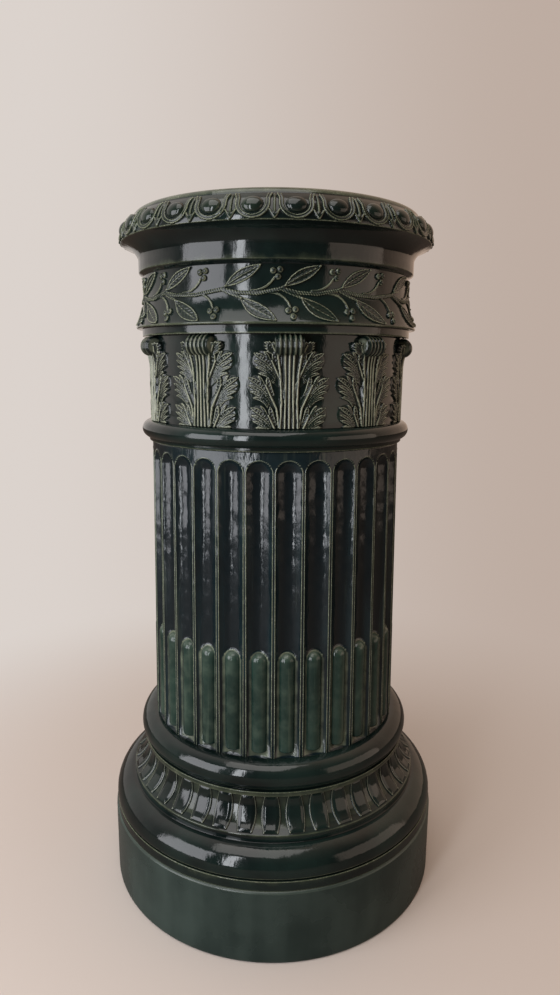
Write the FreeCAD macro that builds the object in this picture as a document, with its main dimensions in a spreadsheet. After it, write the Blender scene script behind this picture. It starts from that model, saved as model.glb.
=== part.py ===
import FreeCAD, Part
import Sketcher
import math
import os

# Glazed earthenware jardiniere standing on a fluted column stand.
# The floor is Z = 0 and the Z axis runs up the middle of the pot and the stand.
# The front of the object faces -Y.  Lengths are in millimetres, angles in degrees.

doc = FreeCAD.newDocument("jardiniere_on_stand")

# ---------------------------------------------------------------------------
# Driving sizes, one line for each size that can be set by itself
# ---------------------------------------------------------------------------

SIZES = {
    # stand: plinth ring and moulded base
    "plinth_height": 99,
    "plinth_wall": 20,
    "plinth_edge": 2,
    "plinth_projection": 61.5,
    "base_wall": 18,
    "base_setback": 2,
    "base_fillet_height": 13,
    "groove_height": 3,
    "groove_depth": 4,
    "cushion_height": 30,
    "cushion_setback": 21,
    "cushion_bulge": 8,
    "recess_height": 9,
    "recess_depth": 5,
    "scotia_height": 42,
    "scotia_setback": 23,
    "scotia_hollow": 7,
    "scotia_fillet_height": 6,
    "scotia_fillet_projection": 17.5,
    "torus_height": 35,
    "torus_foot_projection": 13,
    "torus_head_projection": 3,
    "torus_bulge": 13,
    # stand: tongues in the scotia
    "tongue_count": 39,
    "tongue_turn": -0.5,
    "tongue_relief": 2.4,
    "tongue_end_width": 16.5,
    "tongue_middle_width": 24,
    "tongue_margin": 3,
    # stand: fluted shaft
    "shaft_height": 382,
    "shaft_foot_radius": 169.5,
    "shaft_taper": 4,
    "shaft_wall": 20,
    "deck_thickness": 16,
    "flute_count": 30,
    "flute_round": 18.5,
    "flute_depth": 8.5,
    "flute_top_margin": 10.3,
    "flute_overrun": 5,
    "reed_round": 9.75,
    "reed_proud": 0.6,
    "reed_foot_gap": 6,
    "reed_height": 129,
    # seat between the stand and the pot
    "spigot_radius": 138,
    "spigot_wall": 12,
    "spigot_height": 6,
    "seat_clearance": 1.5,
    # pot: foot and bell
    "bell_radius": 164,
    "pot_wall": 14,
    "pot_floor": 18,
    "pot_floor_round": 15,
    "pot_foot_projection": 5.5,
    "pot_foot_height": 5,
    "foot_torus_height": 21,
    "foot_torus_foot_projection": 8,
    "foot_torus_head_projection": 2,
    "foot_torus_bulge": 9.6,
    "bell_height": 106,
    "band_projection": 11,
    "band_height": 11,
    "ledge_projection": 17.5,
    "ledge_height": 6,
    "ledge_bulge": 2,
    # pot: frieze, fascia and rim
    "frieze_projection": 7,
    "frieze_height": 57,
    "frieze_flare_height": 38,
    "frieze_flare_hollow": 2.5,
    "fascia_projection": 13.8,
    "fascia_splay_height": 4,
    "fascia_height": 17,
    "cavetto_height": 18,
    "cavetto_hollow": 4,
    "ovolo_projection": 35,
    "ovolo_height": 29,
    "ovolo_bulge": 4,
    "lip_foot_projection": 20,
    "lip_projection": 13,
    "lip_height": 7,
    "lip_bulge": 1.5,
    "mouth_projection": 0,
    "mouth_round": 3,
    # pot: egg and dart
    "egg_count": 27,
    "egg_turn": 6.4,
    "egg_rise": 14,
    "egg_gap": 1.8,
    "egg_relief": 4.5,
    "collar_share": 0.85,
    "collar_length": 30,
    "collar_band": 3.6,
    "collar_relief": 3,
    "dart_gap": 1,
    "dart_head_share": 0.24,
    "dart_head_rise": 7,
    "dart_length": 28,
    "dart_relief": 2.5,
    # pot: acanthus leaves on the bell
    "leaf_count": 10,
    "leaf_turn": 5.6,
    "leaf_foot_gap": 0.4,
    "leaf_height": 98,
    "leaf_relief": 4,
    "leaf_curl": 9,
    "leaf_swell_share": 0.7,
    "low_lobe_reach": 43,
    "middle_lobe_reach": 46,
    "high_lobe_reach": 40,
    "lobe_pitch": 30,
    "lobe_height": 25,
    "lobe_shoulder": 9,
    "lobe_notch": 19,
    "lobe_notch_drop": 6,
    "lobe_splay": 3,
    "scallop_rise": 1.8,
    "rib_count": 5,
    "rib_foot_pitch": 3.4,
    "rib_head_pitch": 5.6,
    "rib_round": 2.4,
    "scroll_round": 12,
    "scroll_beads": 5,
    "scroll_bead_pitch": 5.8,
    "scroll_bead_width": 4.2,
    "scroll_bead_depth": 1.4,
    # pot: laurel sprays on the frieze
    "spray_count": 5,
    "spray_turn": -20,
    "spray_relief": 2.6,
    "second_shoot_turn": 21.5,
    "third_shoot_turn": 45,
    "stem_level": 29,
    "stem_width": 4,
    "stem_sag": 3,
    "stalk_width": 2.6,
    "stalk_run": 22,
    "stalk_climb": 12,
    "berry_drop": 7,
    "spray_gap": 0.5,
    "high_stalk_share": 0.62,
    "low_stalk_share": 0.95,
    "laurel_length": 46,
    "laurel_width": 14,
    "upper_leaf_slant": 30,
    "lower_leaf_slant": -22,
    "berry_round": 3.4,
    "berry_spread": 3.8,
}

sizes = doc.addObject("Spreadsheet::Sheet", "sizes")
for row, (name, number) in enumerate(SIZES.items(), 1):
    sizes.set(f"A{row}", name)
    sizes.set(f"B{row}", str(number))
    sizes.setAlias(f"B{row}", name)

# ---------------------------------------------------------------------------
# Radii and heights that follow from the driving sizes
# ---------------------------------------------------------------------------

# A formula on the right uses the driving sizes and the levels above it.
LEVELS = {
    "axis": "0",
    "floor": "0",
    # stand, from the floor up
    "plinth_radius": "=sizes.shaft_foot_radius + sizes.plinth_projection",
    "plinth_bore": "=plinth_radius - sizes.plinth_wall",
    "plinth_top_radius": "=plinth_radius - sizes.plinth_edge",
    "plinth_foot_edge": "=floor + sizes.plinth_edge",
    "plinth_head_edge": "=sizes.plinth_height - sizes.plinth_edge",
    "plinth_top": "=floor + sizes.plinth_height",
    "base_radius": "=plinth_radius - sizes.base_setback",
    "base_fillet_top": "=plinth_top + sizes.base_fillet_height",
    "groove_radius": "=base_radius - sizes.groove_depth",
    "groove_top": "=base_fillet_top + sizes.groove_height",
    "cushion_head_radius": "=base_radius - sizes.cushion_setback",
    "cushion_top": "=groove_top + sizes.cushion_height",
    "recess_radius": "=cushion_head_radius - sizes.recess_depth",
    "recess_top": "=cushion_top + sizes.recess_height",
    "scotia_head_radius": "=recess_radius - sizes.scotia_setback",
    "scotia_top": "=recess_top + sizes.scotia_height",
    "scotia_fillet_radius": "=sizes.shaft_foot_radius + sizes.scotia_fillet_projection",
    "scotia_fillet_top": "=scotia_top + sizes.scotia_fillet_height",
    "torus_foot_radius": "=sizes.shaft_foot_radius + sizes.torus_foot_projection",
    "torus_head_radius": "=sizes.shaft_foot_radius + sizes.torus_head_projection",
    "base_top": "=scotia_fillet_top + sizes.torus_height",
    "base_foot_bore": "=base_radius - sizes.base_wall",
    "base_cushion_bore": "=cushion_head_radius - sizes.base_wall",
    "base_scotia_bore": "=scotia_head_radius - sizes.base_wall",
    "shaft_foot_bore": "=sizes.shaft_foot_radius - sizes.shaft_wall",
    "shaft_head_radius": "=sizes.shaft_foot_radius - sizes.shaft_taper",
    "shaft_head_bore": "=shaft_head_radius - sizes.shaft_wall",
    "shaft_top": "=base_top + sizes.shaft_height",
    "deck_underside": "=shaft_top - sizes.deck_thickness",
    "spigot_bore": "=sizes.spigot_radius - sizes.spigot_wall",
    "spigot_top": "=shaft_top + sizes.spigot_height",
    "flute_half_chord": "=sqrt(sizes.flute_round ^ 2 - (sizes.flute_round - sizes.flute_depth) ^ 2)",
    "flute_arch_centre": "=shaft_top - sizes.flute_top_margin - flute_half_chord",
    "reed_foot": "=base_top + sizes.reed_foot_gap",
    "reed_arch_centre": "=reed_foot + sizes.reed_height - sizes.reed_round",
    # pot, from its foot up
    "pot_foot_bore": "=sizes.spigot_radius + sizes.seat_clearance",
    "pot_underside": "=spigot_top + sizes.seat_clearance",
    "pot_floor_top": "=pot_underside + sizes.pot_floor",
    "pot_floor_corner": "=pot_floor_top + sizes.pot_floor_round",
    "pot_foot_radius": "=sizes.bell_radius + sizes.pot_foot_projection",
    "pot_foot_top": "=shaft_top + sizes.pot_foot_height",
    "foot_torus_foot_radius": "=sizes.bell_radius + sizes.foot_torus_foot_projection",
    "foot_torus_head_radius": "=sizes.bell_radius + sizes.foot_torus_head_projection",
    "bell_foot": "=pot_foot_top + sizes.foot_torus_height",
    "bell_top": "=bell_foot + sizes.bell_height",
    "band_radius": "=sizes.bell_radius + sizes.band_projection",
    "band_top": "=bell_top + sizes.band_height",
    "ledge_radius": "=sizes.bell_radius + sizes.ledge_projection",
    "ledge_top": "=band_top + sizes.ledge_height",
    "frieze_radius": "=sizes.bell_radius + sizes.frieze_projection",
    "frieze_flare_top": "=ledge_top + sizes.frieze_flare_height",
    "frieze_top": "=ledge_top + sizes.frieze_height",
    "fascia_radius": "=sizes.bell_radius + sizes.fascia_projection",
    "fascia_foot": "=frieze_top + sizes.fascia_splay_height",
    "fascia_top": "=fascia_foot + sizes.fascia_height",
    "ovolo_radius": "=sizes.bell_radius + sizes.ovolo_projection",
    "ovolo_foot": "=fascia_top + sizes.cavetto_height",
    "lip_foot_radius": "=sizes.bell_radius + sizes.lip_foot_projection",
    "lip_foot": "=ovolo_foot + sizes.ovolo_height",
    "lip_radius": "=sizes.bell_radius + sizes.lip_projection",
    "pot_top": "=lip_foot + sizes.lip_height",
    "mouth_radius": "=sizes.bell_radius + sizes.mouth_projection",
    "mouth_crest_radius": "=mouth_radius + sizes.mouth_round",
    "mouth_crest_foot": "=pot_top - sizes.mouth_round",
    "bell_bore": "=sizes.bell_radius - sizes.pot_wall",
    "frieze_bore": "=frieze_radius - sizes.pot_wall",
    "pot_floor_corner_radius": "=bell_bore - sizes.pot_floor_round",
    # ornament on the pot
    "rim_pitch": "=2 * pi * lip_foot_radius / sizes.egg_count",
    "egg_width": "=sizes.collar_length - 2 * (sizes.collar_band + sizes.egg_gap)",
    "collar_width": "=rim_pitch * sizes.collar_share",
    "dart_stem_width": "=rim_pitch - collar_width - 2 * sizes.dart_gap",
    "dart_head_width": "=rim_pitch * sizes.dart_head_share",
    "leaf_foot": "=bell_foot + sizes.leaf_foot_gap",
    "scroll_centre": "=bell_top - sizes.leaf_foot_gap - sizes.scroll_round",
    "stem_height": "=ledge_top + sizes.stem_level",
}

levels = doc.addObject("Spreadsheet::Sheet", "levels")
for row, (name, formula) in enumerate(LEVELS.items(), 1):
    levels.set(f"A{row}", name)
    levels.set(f"B{row}", formula)
    levels.setAlias(f"B{row}", name)
doc.recompute()


def cell(name):
    """The expression that reads a driving size or a level."""
    return ("sizes." if name in SIZES else "levels.") + name


def value(name):
    """The present number of a driving size or a level."""
    return float(getattr(sizes if name in SIZES else levels, name))


def bind(target, **expressions):
    """Binds properties to expressions; a double underscore in a keyword stands for a dot."""
    for key, expression in expressions.items():
        target.setExpression(key.replace("__", "."), expression)
    return target


# ---------------------------------------------------------------------------
# Turned pieces: a closed half section, revolved round the Z axis
# ---------------------------------------------------------------------------


def turned(label, outline):
    """Revolves a half section given anticlockwise as (radius, height) corners.

    A corner may add a rise: the name of the sagitta of the arc to the next corner,
    with "-" before it where the arc is hollow.
    """
    body = doc.addObject("PartDesign::Body", label)
    section = body.newObject("Sketcher::SketchObject", label + "_section")
    plane = [p for p in body.Origin.OriginFeatures if p.Role == "XZ_Plane"][0]
    section.AttachmentSupport = [(plane, "")]
    section.MapMode = "FlatFace"
    corners = [FreeCAD.Vector(value(p[0]), value(p[1]), 0) for p in outline]
    rules = []
    bindings = []
    starts = []
    ends = []
    for i, point in enumerate(outline):
        here, there = corners[i], corners[(i + 1) % len(corners)]
        if len(point) == 2:
            section.addGeometry(Part.LineSegment(here, there))
            starts.append(1)
            ends.append(2)
            continue
        hollow = point[2].startswith("-")
        rise = value(point[2].lstrip("-"))
        chord = there - here
        radius = chord.Length**2 / (8 * rise) + rise / 2
        side = FreeCAD.Vector(chord.y, -chord.x, 0).normalize() * (-1 if hollow else 1)
        centre = (here + there) / 2 - side * (radius - rise)
        first, last = (there, here) if hollow else (here, there)
        turn = [math.atan2(p.y - centre.y, p.x - centre.x) for p in (first, last)]
        circle = Part.Circle(centre, FreeCAD.Vector(0, 0, 1), radius)
        section.addGeometry(Part.ArcOfCircle(circle, turn[0], turn[1]))
        starts.append(2 if hollow else 1)
        ends.append(1 if hollow else 2)
        ahead = outline[(i + 1) % len(outline)]
        across = f"({cell(ahead[0])} - {cell(point[0])})"
        along = f"({cell(ahead[1])} - {cell(point[1])})"
        sagitta = cell(point[2].lstrip("-"))
        rules.append(Sketcher.Constraint("Radius", i, radius))
        bindings.append(f"({across} ^ 2 + {along} ^ 2) / (8 * {sagitta}) + {sagitta} / 2")
    count = len(outline)
    for i, point in enumerate(outline):
        following = (i + 1) % count
        rules.append(Sketcher.Constraint("Coincident", i, ends[i], following, starts[following]))
        bindings.append(None)
        for kind, name, number in (
            ("DistanceX", point[0], corners[i].x),
            ("DistanceY", point[1], corners[i].y),
        ):
            if number == 0:
                ruler = -2 if kind == "DistanceX" else -1
                rules.append(Sketcher.Constraint("PointOnObject", i, starts[i], ruler))
                bindings.append(None)
            else:
                rules.append(Sketcher.Constraint(kind, -1, 1, i, starts[i], number))
                bindings.append(cell(name))
    section.addConstraint(rules)
    for i, expression in enumerate(bindings):
        if expression:
            section.setExpression(f"Constraints[{i}]", expression)
    solid = body.newObject("PartDesign::Revolution", label + "_turned")
    solid.Profile = section
    solid.ReferenceAxis = (section, ["V_Axis"])
    solid.Angle = 360
    return body


# Plinth: a plain ring with eased edges that lifts the base off the floor.
plinth_ring = turned(
    "plinth_ring",
    [
        ("plinth_bore", "floor"),
        ("plinth_top_radius", "floor"),
        ("plinth_radius", "plinth_foot_edge"),
        ("plinth_radius", "plinth_head_edge"),
        ("plinth_top_radius", "plinth_top"),
        ("plinth_bore", "plinth_top"),
    ],
)

# Base: fillet, groove, cushion, recess, hollow scotia, fillet and torus, hollow inside.
stand_base = turned(
    "stand_base",
    [
        ("base_foot_bore", "plinth_top"),
        ("base_radius", "plinth_top"),
        ("base_radius", "base_fillet_top"),
        ("groove_radius", "base_fillet_top"),
        ("groove_radius", "groove_top"),
        ("base_radius", "groove_top", "cushion_bulge"),
        ("cushion_head_radius", "cushion_top"),
        ("recess_radius", "cushion_top"),
        ("recess_radius", "recess_top", "-scotia_hollow"),
        ("scotia_head_radius", "scotia_top"),
        ("scotia_fillet_radius", "scotia_top"),
        ("scotia_fillet_radius", "scotia_fillet_top"),
        ("torus_foot_radius", "scotia_fillet_top", "torus_bulge"),
        ("torus_head_radius", "base_top"),
        ("shaft_foot_bore", "base_top"),
        ("base_scotia_bore", "scotia_fillet_top"),
        ("base_scotia_bore", "recess_top"),
        ("base_cushion_bore", "cushion_top"),
        ("base_foot_bore", "groove_top"),
    ],
)

# Shaft: a tapering tube closed by the deck, with a ring on top that locates the pot.
shaft_blank = turned(
    "shaft_blank",
    [
        ("axis", "deck_underside"),
        ("shaft_head_bore", "deck_underside"),
        ("shaft_foot_bore", "base_top"),
        ("shaft_foot_radius", "base_top"),
        ("shaft_head_radius", "shaft_top"),
        ("spigot_radius", "shaft_top"),
        ("spigot_radius", "spigot_top"),
        ("spigot_bore", "spigot_top"),
        ("spigot_bore", "shaft_top"),
        ("axis", "shaft_top"),
    ],
)

# Pot: foot, torus, bell, band, ledge, flared frieze, fascia, cavetto, ovolo, lip and bore.
pot_body = turned(
    "pot_body",
    [
        ("axis", "pot_underside"),
        ("pot_foot_bore", "pot_underside"),
        ("pot_foot_bore", "shaft_top"),
        ("pot_foot_radius", "shaft_top"),
        ("pot_foot_radius", "pot_foot_top"),
        ("foot_torus_foot_radius", "pot_foot_top", "foot_torus_bulge"),
        ("foot_torus_head_radius", "bell_foot"),
        ("bell_radius", "bell_foot"),
        ("bell_radius", "bell_top"),
        ("band_radius", "bell_top"),
        ("band_radius", "band_top"),
        ("ledge_radius", "band_top", "ledge_bulge"),
        ("ledge_radius", "ledge_top", "-frieze_flare_hollow"),
        ("frieze_radius", "frieze_flare_top"),
        ("frieze_radius", "frieze_top"),
        ("fascia_radius", "fascia_foot"),
        ("fascia_radius", "fascia_top", "-cavetto_hollow"),
        ("ovolo_radius", "ovolo_foot", "ovolo_bulge"),
        ("lip_foot_radius", "lip_foot", "lip_bulge"),
        ("lip_radius", "pot_top"),
        ("mouth_crest_radius", "pot_top"),
        ("mouth_radius", "mouth_crest_foot"),
        ("mouth_radius", "ovolo_foot"),
        ("frieze_bore", "frieze_top"),
        ("bell_bore", "bell_top"),
        ("bell_bore", "pot_floor_corner"),
        ("pot_floor_corner_radius", "pot_floor_top"),
        ("axis", "pot_floor_top"),
    ],
)

# ---------------------------------------------------------------------------
# Flutes and reeds: round bars with ball heads, which follow the shaft's taper
# ---------------------------------------------------------------------------

FRONT = -90  # the polar angle of the object's front
UP = FreeCAD.Vector(0, 0, 1)
OUT = FreeCAD.Vector(1, 0, 0)

# The first bar faces +X, and the shaft's taper leans it inwards.
SLANT = "atan(sizes.shaft_taper / sizes.shaft_height)"


def shaft_radius(height):
    """The expression of the shaft's outer radius at a height."""
    return f"(sizes.shaft_foot_radius - tan({SLANT}) * ({height} - levels.base_top))"


def headed_bar(label, radius, foot, arch_centre, offset):
    """A round bar with a ball head, its centre line offset outwards from the shaft's surface."""
    bar = doc.addObject("Part::Cylinder", label + "_bar")
    bar.Placement.Rotation = FreeCAD.Rotation(FreeCAD.Vector(0, -1, 0), 1)
    bind(
        bar,
        Radius=radius,
        Height=f"({arch_centre} - {foot}) / cos({SLANT})",
        Placement__Base__x=f"{shaft_radius(foot)} + {offset}",
        Placement__Base__z=foot,
        Placement__Rotation__Angle=SLANT,
    )
    ball = doc.addObject("Part::Sphere", label + "_ball")
    bind(
        ball,
        Radius=radius,
        Placement__Base__x=f"{shaft_radius(arch_centre)} + {offset}",
        Placement__Base__z=arch_centre,
    )
    whole = doc.addObject("Part::Fuse", label)
    whole.Base, whole.Tool = bar, ball
    doc.recompute()
    return whole


def turned_to(shape, angle):
    """A copy of a shape turned from +X to an angle counted from the front, anticlockwise."""
    copy = shape.copy()
    copy.rotate(FreeCAD.Vector(), UP, FRONT + angle)
    return copy


def course(label, shape, count, start):
    """One object of equal separate solids, evenly spaced round the axis from an angle."""
    number = round(value(count))
    item = doc.addObject("Part::Feature", label)
    item.Shape = Part.makeCompound(
        [turned_to(shape, start + 360 * i / number) for i in range(number)]
    )
    return item


def plain(shape):
    """The single solid of a result, without the compound that a boolean wraps it in."""
    return shape.Solids[0] if len(shape.Solids) == 1 else shape


# The flutes leave a narrow fillet facing the front and run out through the shaft's foot.
first_flute = 180 / value("flute_count")
flute_bar = headed_bar(
    "flute",
    "sizes.flute_round",
    "(levels.base_top - sizes.flute_overrun)",
    "levels.flute_arch_centre",
    "(sizes.flute_round - sizes.flute_depth)",
)
flute_tools = course("flute_tools", flute_bar.Shape, "flute_count", first_flute)
stand_shaft = doc.addObject("Part::Cut", "stand_shaft")
stand_shaft.Base, stand_shaft.Tool = shaft_blank, flute_tools
doc.recompute()

# The reeds fill the lower third of the flutes and have domed heads.
reed_bar = headed_bar(
    "reed",
    "sizes.reed_round",
    "levels.reed_foot",
    "levels.reed_arch_centre",
    "(sizes.reed_proud - sizes.reed_round)",
)
reed = reed_bar.Shape.common(flute_bar.Shape)
flute_reeds = course("flute_reeds", plain(reed), "flute_count", first_flute)

# ---------------------------------------------------------------------------
# Reliefs: shapes drawn on the tangent plane at +X, trimmed to stand a little
# proud of the turned ground, cut to sit on it, and then turned to their place
# ---------------------------------------------------------------------------

WIDE = 30  # half the angle of each shell that trims a relief, more than one piece spans


def on_plane(across, height):
    """A point of a drawing on the tangent plane: across to the right, and up."""
    return FreeCAD.Vector(0, across, height)


def arc_edge(start, end, rise):
    """An edge of a drawing that bulges to the right of its direction by rise, or a straight one."""
    if rise == 0:
        return Part.makeLine(start, end)
    chord = end - start
    right = FreeCAD.Vector(0, chord.z, -chord.y).normalize()
    return Part.Arc(start, (start + end) / 2 + right * rise, end).toShape()


def drawing(corners, rises=None):
    """A closed face from (across, height) corners, anticlockwise; rises bulge its edges outwards."""
    points = [on_plane(*c) for c in corners]
    rises = rises or [0] * len(points)
    edges = [
        arc_edge(points[i], points[(i + 1) % len(points)], rises[i])
        for i in range(len(points))
    ]
    return Part.Face(Part.Wire(edges))


def slab(face):
    """A drawing carried outwards from the axis, past the widest moulding."""
    return face.extrude(OUT * (2 * value("plinth_radius")))


def shell_of(edges):
    """The closed outline in the plane y = 0 swept round the axis on both sides of +X."""
    shell = Part.Face(Part.Wire(edges)).revolve(FreeCAD.Vector(), UP, 2 * WIDE)
    shell.rotate(FreeCAD.Vector(), UP, -WIDE)
    return shell


# Tongues: barrel-shaped panels that stand proud of the hollow scotia.
def tongue():
    foot = value("recess_top") + value("tongue_margin")
    head = value("scotia_top") - value("tongue_margin")
    end, middle = value("tongue_end_width") / 2, value("tongue_middle_width") / 2
    face = drawing(
        [(-end, foot), (end, foot), (end, head), (-end, head)],
        [0, middle - end, 0, middle - end],
    )
    low = FreeCAD.Vector(value("recess_radius"), 0, value("recess_top"))
    high = FreeCAD.Vector(value("scotia_head_radius"), 0, value("scotia_top"))
    chord = high - low
    outwards = FreeCAD.Vector(chord.z, 0, -chord.x).normalize()
    belly = (low + high) / 2 - outwards * value("scotia_hollow")
    proud = outwards * value("tongue_relief")
    front = Part.Arc(low + proud, belly + proud, high + proud).toShape()
    back = Part.makePolygon([high + proud, belly - proud * 3, low + proud])
    shell = shell_of([front] + back.Edges)
    return plain(slab(face).common(shell).cut(stand_base.Shape))


scotia_tongues = course("scotia_tongues", tongue(), "tongue_count", value("tongue_turn"))


# Eggs, collars and darts: pressed pieces that stand on the slope of the ovolo.
def on_ovolo(shape, rise):
    """Moves a shape from the plane x = 0 onto the ovolo, facing along its slope."""
    back = value("ovolo_radius") - value("lip_foot_radius")
    slope = math.degrees(math.atan2(back, value("ovolo_height")))
    share = rise / value("ovolo_height")
    shape.rotate(FreeCAD.Vector(), FreeCAD.Vector(0, 1, 0), -slope)
    bulge = 4 * value("ovolo_bulge") * share * (1 - share)
    outwards = FreeCAD.Vector(math.cos(math.radians(slope)), 0, math.sin(math.radians(slope)))
    foot = FreeCAD.Vector(value("ovolo_radius") - back * share, 0, value("ovolo_foot") + rise)
    shape.translate(foot + outwards * bulge)
    return plain(shape.cut(pot_body.Shape))


def egg():
    """A round cap of the egg's width and relief."""
    half, relief = value("egg_width") / 2, value("egg_relief")
    ball = Part.makeSphere((half**2 + relief**2) / (2 * relief))
    ball.translate(OUT * (relief - ball.Faces[0].Surface.Radius))
    block = Part.makeBox(2 * relief, 4 * half, 4 * half, FreeCAD.Vector(-relief, -2 * half, -2 * half))
    return on_ovolo(ball.common(block), value("egg_rise"))


def collar():
    """A U-shaped band round the egg, open at the lip."""
    wide, tall = value("collar_width") / 2, value("collar_length") / 2
    band = value("collar_band")
    inner = wide - band
    corners = [(-wide, tall), (-wide, 0), (wide, 0), (wide, tall)]
    corners += [(inner, tall), (inner, 0), (-inner, 0), (-inner, tall)]
    bar = drawing(corners, [0, tall, 0, 0, 0, band - tall, 0, 0])
    bar = bar.extrude(OUT * 2 * value("collar_relief"))
    bar.translate(OUT * -value("collar_relief"))
    return on_ovolo(bar, value("egg_rise"))


def dart():
    """An arrow between two collars: its stem starts at the lip and its head points down."""
    tall, stem = value("dart_length") / 2, value("dart_stem_width") / 2
    head, rise = value("dart_head_width") / 2, value("dart_head_rise")
    corners = [(0, -tall), (head, rise - tall), (stem, rise - tall), (stem, tall)]
    corners += [(-across, height) for across, height in corners[:0:-1]]
    bar = drawing(corners).extrude(OUT * 2 * value("dart_relief"))
    bar.translate(OUT * -value("dart_relief"))
    return on_ovolo(bar, value("egg_rise"))


egg_pitch = 360 / value("egg_count")
rim_eggs = course("rim_eggs", egg(), "egg_count", value("egg_turn"))
rim_collars = course("rim_collars", collar(), "egg_count", value("egg_turn"))
rim_darts = course("rim_darts", dart(), "egg_count", value("egg_turn") + egg_pitch / 2)

# ---------------------------------------------------------------------------
# Acanthus leaves: a lobed blade with ribs, its head rolled over into a scroll
# ---------------------------------------------------------------------------


def lobed_side(side):
    """One edge of the blade from foot to head, as (corner, rise) pairs; side is 1 or -1."""
    tall, shoulder = value("lobe_height"), value("lobe_shoulder")
    splay, rise = value("lobe_splay"), value("scallop_rise")
    edge = []
    for tier, name in enumerate(("low_lobe_reach", "middle_lobe_reach", "high_lobe_reach")):
        reach, foot = value(name), tier * value("lobe_pitch")
        steps = [(reach - splay * (3 - i) / 3, foot + i * (tall - rise) / 3) for i in range(4)]
        edge += [(corner, rise) for corner in steps]
        edge += [((reach - shoulder, foot + tall), 0)]
        notch = foot + tall - value("lobe_notch_drop")
        edge += [((reach - value("lobe_notch"), notch), 0)]
        if tier < 2:
            edge += [((reach - shoulder, foot + value("lobe_pitch") - rise), 0)]
    return [((side * across, height), bulge) for (across, height), bulge in edge]


def leaf_blade():
    """The lobed blade, trimmed to the bell's curve and swelling out towards its head."""
    foot, tall = value("leaf_foot"), value("leaf_height")
    ground, relief = value("bell_radius"), value("leaf_relief")
    right, left = lobed_side(1), lobed_side(-1)[::-1]
    head = value("scroll_bead_pitch") * value("scroll_beads") / 2
    outline = [c for c, _ in right] + [(head, tall), (-head, tall)] + [c for c, _ in left]
    bulges = [r for _, r in right] + [0, 0] + [r for _, r in left[1:]] + [0]
    blade = slab(drawing([(across, foot + height) for across, height in outline], bulges))
    swell = foot + tall * value("leaf_swell_share")
    profile = [
        (ground - relief, foot),
        (ground + relief, foot),
        (ground + relief, swell),
        (ground + relief + value("leaf_curl"), foot + tall),
        (ground - relief, foot + tall),
        (ground - relief, foot),
    ]
    corners = [FreeCAD.Vector(radius, 0, height) for radius, height in profile]
    return blade.common(shell_of(Part.makePolygon(corners).Edges))


def leaf_ribs():
    """Round ribs that fan up the middle of the blade and lean out with its head."""
    foot, tall = value("leaf_foot"), value("leaf_height")
    front = value("bell_radius") + value("leaf_relief") - value("rib_round") / 2
    number = round(value("rib_count"))
    swell = value("leaf_swell_share")
    ribs = []
    for i in range(number):
        place = i - (number - 1) / 2
        low, high = place * value("rib_foot_pitch"), place * value("rib_head_pitch")
        start = FreeCAD.Vector(front, low, foot)
        bend = FreeCAD.Vector(front, low + (high - low) * swell, foot + tall * swell)
        end = FreeCAD.Vector(front + value("leaf_curl"), high, foot + tall)
        for a, b in ((start, bend), (bend, end)):
            ribs.append(Part.makeCylinder(value("rib_round"), (b - a).Length, a, b - a))
    return ribs


def leaf_scroll():
    """The rolled head: a bar across the leaf with raised rings."""
    middle = FreeCAD.Vector(
        value("bell_radius") + value("leaf_relief"), 0, value("scroll_centre")
    )
    across = FreeCAD.Vector(0, 1, 0)
    beads = round(value("scroll_beads"))
    pitch, wide = value("scroll_bead_pitch"), value("scroll_bead_width")
    core = value("scroll_round") - value("scroll_bead_depth")
    width = pitch * beads
    pieces = [Part.makeCylinder(core, width, middle - across * width / 2, across)]
    for i in range(beads):
        start = middle + across * ((i - (beads - 1) / 2) * pitch - wide / 2)
        pieces.append(Part.makeCylinder(value("scroll_round"), wide, start, across))
    return pieces


leaf_shape = plain(leaf_blade().multiFuse(leaf_ribs() + leaf_scroll()).cut(pot_body.Shape))
leaves = []
for i in range(round(value("leaf_count"))):
    leaf = doc.addObject("Part::Feature", f"acanthus_leaf_{i + 1:02d}")
    leaf.Shape = leaf_shape
    turn = FRONT + value("leaf_turn") + 360 * i / value("leaf_count")
    leaf.Placement = FreeCAD.Placement(FreeCAD.Vector(), UP, turn)
    leaves.append(leaf)

# ---------------------------------------------------------------------------
# Laurel sprays: three shoots on one stem, each with two leaves and two berry stalks
# ---------------------------------------------------------------------------


def frieze_shell():
    """The space between the frieze's ground and the face of the relief, in front of +X."""
    relief = value("spray_relief")
    low = FreeCAD.Vector(value("ledge_radius") + relief, 0, value("ledge_top"))
    high = FreeCAD.Vector(value("frieze_radius") + relief, 0, value("frieze_flare_top"))
    inwards = FreeCAD.Vector(low.z - high.z, 0, high.x - low.x).normalize()
    belly = (low + high) / 2 + inwards * value("frieze_flare_hollow")
    top = FreeCAD.Vector(high.x, 0, value("frieze_top"))
    back = value("frieze_bore")
    edges = [Part.Arc(low, belly, high).toShape()]
    corners = [high, top, FreeCAD.Vector(back, 0, top.z), FreeCAD.Vector(back, 0, low.z), low]
    return shell_of(edges + Part.makePolygon(corners).Edges)


def on_frieze(face, arc, shell):
    """Trims a drawing to the relief, then turns it to an arc length along the frieze."""
    piece = slab(face).common(shell)
    piece.rotate(FreeCAD.Vector(), UP, math.degrees(arc / value("frieze_radius")))
    return piece


def leaf_face(length, width, slant, height):
    """A pointed leaf: two arcs between its ends, slanting up to the right."""
    face = drawing([(-length / 2, 0), (length / 2, 0)], [width / 2, width / 2])
    face.rotate(FreeCAD.Vector(), OUT, slant)
    face.translate(UP * height)
    return face


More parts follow.
